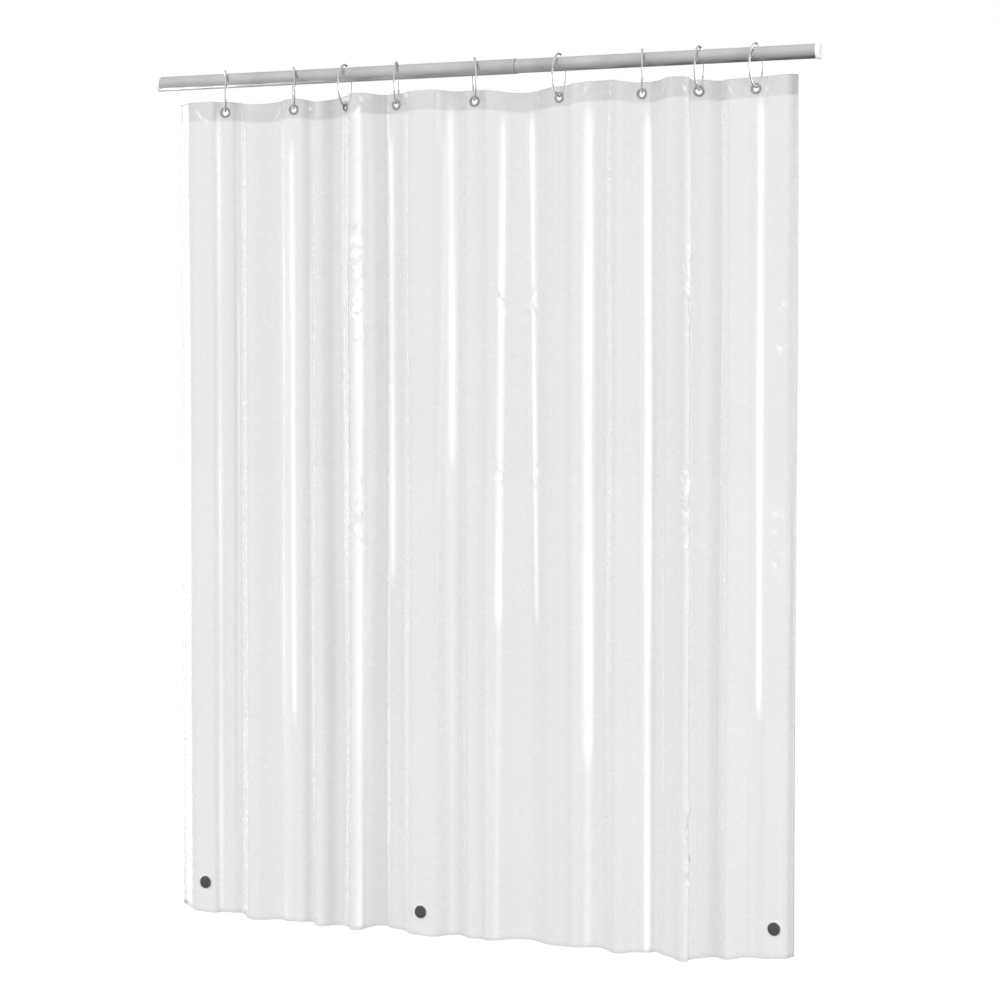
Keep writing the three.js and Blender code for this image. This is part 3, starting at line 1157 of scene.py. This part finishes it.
magnetBlack, pocketFilm = magnetMaterial(), pocketMaterial()
firstMagnet, firstPocket = magnetPiece("magnet"), pocketPiece("pocket")
for name, x, y, up, turn in weights:
    for source, label, slot, material, node in [
        (firstMagnet, "magnet", "magnet_black", magnetBlack, "magnet"),
        (firstPocket, "pocket", "curtain_film", pocketFilm, "magnet_pocket"),
    ]:
        piece = copyPiece(source, f"{label}{name.capitalize()}")
        place(piece, x, y, bottomZ + up, turn * degree)
        finished(piece, f"weight_{name}", material, [f"{node}_{name}"])
for source in (firstMagnet, firstPocket):
    bpy.data.objects.remove(source)
print("weights")

for piece, size in [(curtainSheet, (filmWidth, film["height"])), (headerBand, (filmWidth, film["header"]))]:
    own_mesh(piece)


# ---- floor, light and camera

stage = {
    "floorZ": -1.985,
    "floorSize": 60,
    "floorGlow": 0.95,
    "backdrop": 1.0,
    "brightSide": (-0.36, -0.46, 0.81),
    "cameraPlace": (2.478, -5.428, -0.675),
    "cameraTilt": 87.53,
    "cameraTurn": 24,
    "lens": 98.94,
}


def layFloor():
    clearSelection()
    bpy.ops.mesh.primitive_plane_add(size=stage["floorSize"], location=(0, 0, stage["floorZ"]))
    floor = bpy.context.object
    floor.name = "floor"
    made = Finish("pale floor")
    made.set(Base_Color=(0.06, 0.06, 0.06, 1), Roughness=0.9, Specular_IOR_Level=0.1)
    made.set(Emission_Color=(1, 1, 1, 1), Emission_Strength=stage["floorGlow"])
    floor.data.materials.append(made.material)
    floor.visible_glossy = False
    floor.visible_diffuse = False


def lightWorld():
    world = bpy.data.worlds.new("studio")
    bpy.context.scene.world = world
    world.use_nodes = True
    nodes, link = world.node_tree.nodes, world.node_tree.links.new
    nodes.clear()
    around = nodes.new("ShaderNodeTexCoord")
    towards = nodes.new("ShaderNodeVectorMath")
    towards.operation = "DOT_PRODUCT"
    towards.inputs[1].default_value = stage["brightSide"]
    ramp = nodes.new("ShaderNodeValToRGB")
    spread = nodes.new("ShaderNodeMapRange")
    spread.inputs["From Min"].default_value = -1
    link(around.outputs["Generated"], towards.inputs[0])
    link(towards.outputs["Value"], spread.inputs["Value"])
    link(spread.outputs["Result"], ramp.inputs["Fac"])
    bands = ramp.color_ramp.elements
    bands[0].position, bands[0].color = 0.0, (0.10, 0.10, 0.10, 1)
    bands[1].position, bands[1].color = 1.0, (1.0, 1.0, 1.0, 1)
    for at, level in [(0.10, 0.14), (0.27, 0.52), (0.5, 0.66), (0.75, 0.84), (0.9, 1.0)]:
        bands.new(at).color = (level, level, level, 1)
    lit = nodes.new("ShaderNodeBackground")
    seen = nodes.new("ShaderNodeBackground")
    seen.inputs["Strength"].default_value = stage["backdrop"]
    path = nodes.new("ShaderNodeLightPath")
    mix = nodes.new("ShaderNodeMixShader")
    output = nodes.new("ShaderNodeOutputWorld")
    link(ramp.outputs["Color"], lit.inputs["Color"])
    seen.inputs["Color"].default_value = (1, 1, 1, 1)
    link(path.outputs["Is Camera Ray"], mix.inputs["Fac"])
    link(lit.outputs[0], mix.inputs[1])
    link(seen.outputs[0], mix.inputs[2])
    link(mix.outputs[0], output.inputs["Surface"])


def softLight(name, azimuth, distance, height, size, power, aimZ=-0.95, gloss=True, wash=True):
    clearSelection()
    turn = azimuth * degree
    spot = Vector((math.sin(turn) * distance, -math.cos(turn) * distance, height))
    bpy.ops.object.light_add(type="AREA", location=spot)
    lamp = bpy.context.object
    lamp.name = name
    lamp.data.shape = "RECTANGLE"
    lamp.data.size, lamp.data.size_y = size
    lamp.data.energy = power
    lamp.rotation_euler = (Vector((0, 0, aimZ)) - spot).to_track_quat("-Z", "Y").to_euler()
    lamp.visible_camera = False
    lamp.visible_glossy = gloss
    lamp.visible_diffuse = wash


def setCamera():
    clearSelection()
    turn = (stage["cameraTilt"] * degree, 0, stage["cameraTurn"] * degree)
    bpy.ops.object.camera_add(location=stage["cameraPlace"], rotation=turn)
    camera = bpy.context.object
    camera.data.sensor_width = 36
    camera.data.lens = stage["lens"]
    camera.data.dof.use_dof = False
    bpy.context.scene.camera = camera


layFloor()
lightWorld()
softLight("leftStrip", -108, 3.4, -0.9, (1.0, 3.2), 70, wash=False)
softLight("rightStrip", 84, 3.6, -0.9, (0.55, 3.4), 40, wash=False)
softLight("leftWash", -36, 4.5, -0.9, (2.4, 2.4), 84, gloss=False)
softLight("rightWash", 60, 4.5, -1.2, (2.4, 2.4), 128, gloss=False)
softLight("overhead", 20, 0.8, 2.4, (3.2, 2.4), 32, aimZ=-1.0, gloss=False)
softLight("backWash", 200, 4.5, 0.6, (2.5, 2.5), 60, gloss=False)
softLight("backStrip", 118, 3.4, -0.9, (0.9, 3.4), 90, wash=False)
setCamera()
settings = bpy.context.scene
settings.view_settings.view_transform = "Standard"
settings.view_settings.look = "None"
settings.cycles.transparent_max_bounces = 32
print("stage")
